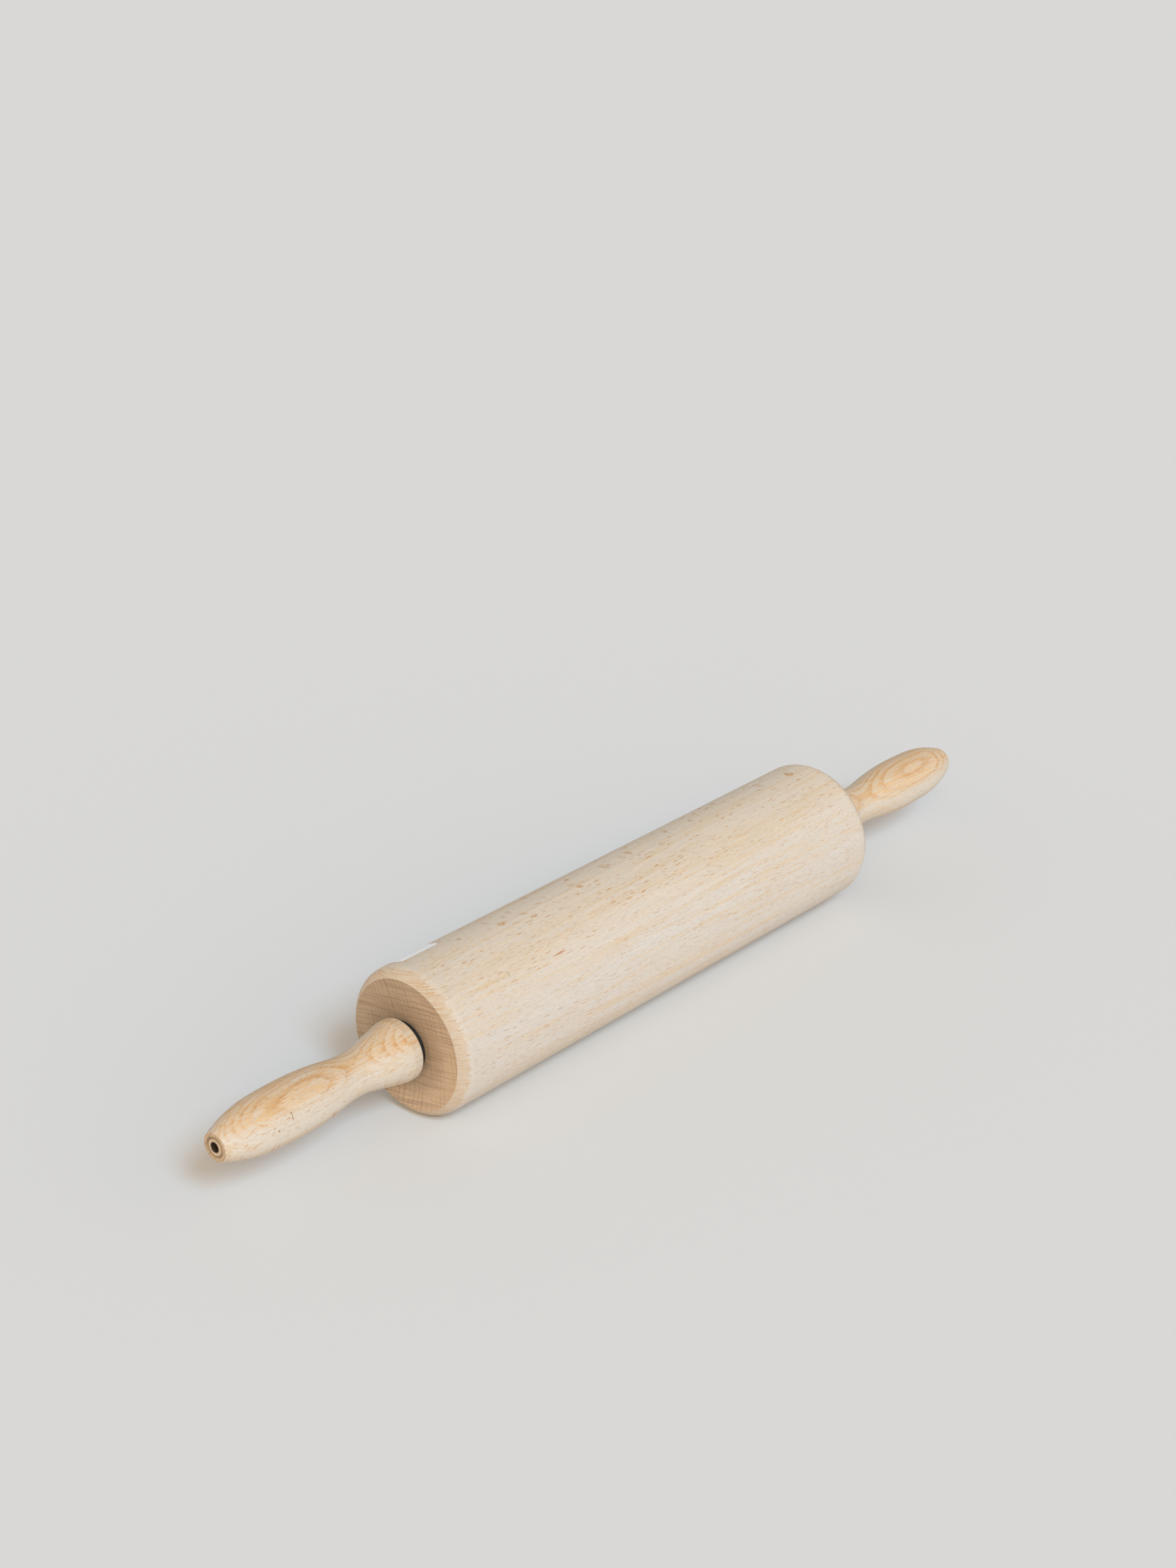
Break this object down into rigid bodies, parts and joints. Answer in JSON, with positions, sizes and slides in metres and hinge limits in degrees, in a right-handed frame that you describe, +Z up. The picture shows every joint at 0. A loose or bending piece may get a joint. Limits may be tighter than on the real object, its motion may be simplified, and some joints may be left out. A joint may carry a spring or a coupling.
{
  "type": "rolling pin",
  "caption": "Straight wooden rolling pin with turned handles on a through axle; the roller spins between the handles on ball bearings in flanged housings.",
  "frame": {"origin": "on the table under the middle of the roller, at the centre of the bottom of the bounding box", "axes": "+X along the axle towards the right handle, +Z up, the turning axis 30 mm above the table"},
  "size_m": [0.438, 0.06, 0.06],
  "materials": {
    "beech_roller": "sanded, unfinished",
    "beech_handle": "sanded, lightly oiled",
    "axle_steel": "drawn",
    "bearing_steel": "ground",
    "polished_balls": "polished",
    "cage_moulding": "moulded",
    "shield_steel": "pressed",
    "black_moulding": "moulded"
  },
  "bodies": {
    "handles": {"axle_rod": "axle_steel", "left_handle": "beech_handle", "right_handle": "beech_handle", "left_inner_race": "bearing_steel", "right_inner_race": "bearing_steel", "left_axle_spacer": "axle_steel", "right_axle_spacer": "axle_steel"},
    "roller": {"roller_barrel": "beech_roller", "left_bearing_housing": "black_moulding", "right_bearing_housing": "black_moulding", "left_outer_race": "bearing_steel", "right_outer_race": "bearing_steel", "left_outboard_shield": "shield_steel", "right_outboard_shield": "shield_steel", "left_inboard_shield": "shield_steel", "right_inboard_shield": "shield_steel"},
    "left_ball_ring": {"left_bearing_balls": "polished_balls", "left_ball_cage": "cage_moulding"},
    "right_ball_ring": {"right_bearing_balls": "polished_balls", "right_ball_cage": "cage_moulding"}
  },
  "joints": [
    {"name": "roller_spin", "type": "hinge", "parent": "handles", "child": "roller", "pos_m": [0, 0, 0.03], "axis": [1, 0, 0], "continuous": true},
    {"name": "left_balls_spin", "type": "hinge", "parent": "handles", "child": "left_ball_ring", "pos_m": [-0.1218, 0, 0.03], "axis": [1, 0, 0], "continuous": true},
    {"name": "right_balls_spin", "type": "hinge", "parent": "handles", "child": "right_ball_ring", "pos_m": [0.1218, 0, 0.03], "axis": [1, 0, 0], "continuous": true}
  ],
  "couplings": [
    {"joint": "left_balls_spin", "follows": "roller_spin", "ratio": 0.5992},
    {"joint": "right_balls_spin", "follows": "roller_spin", "ratio": 0.5992}
  ]
}
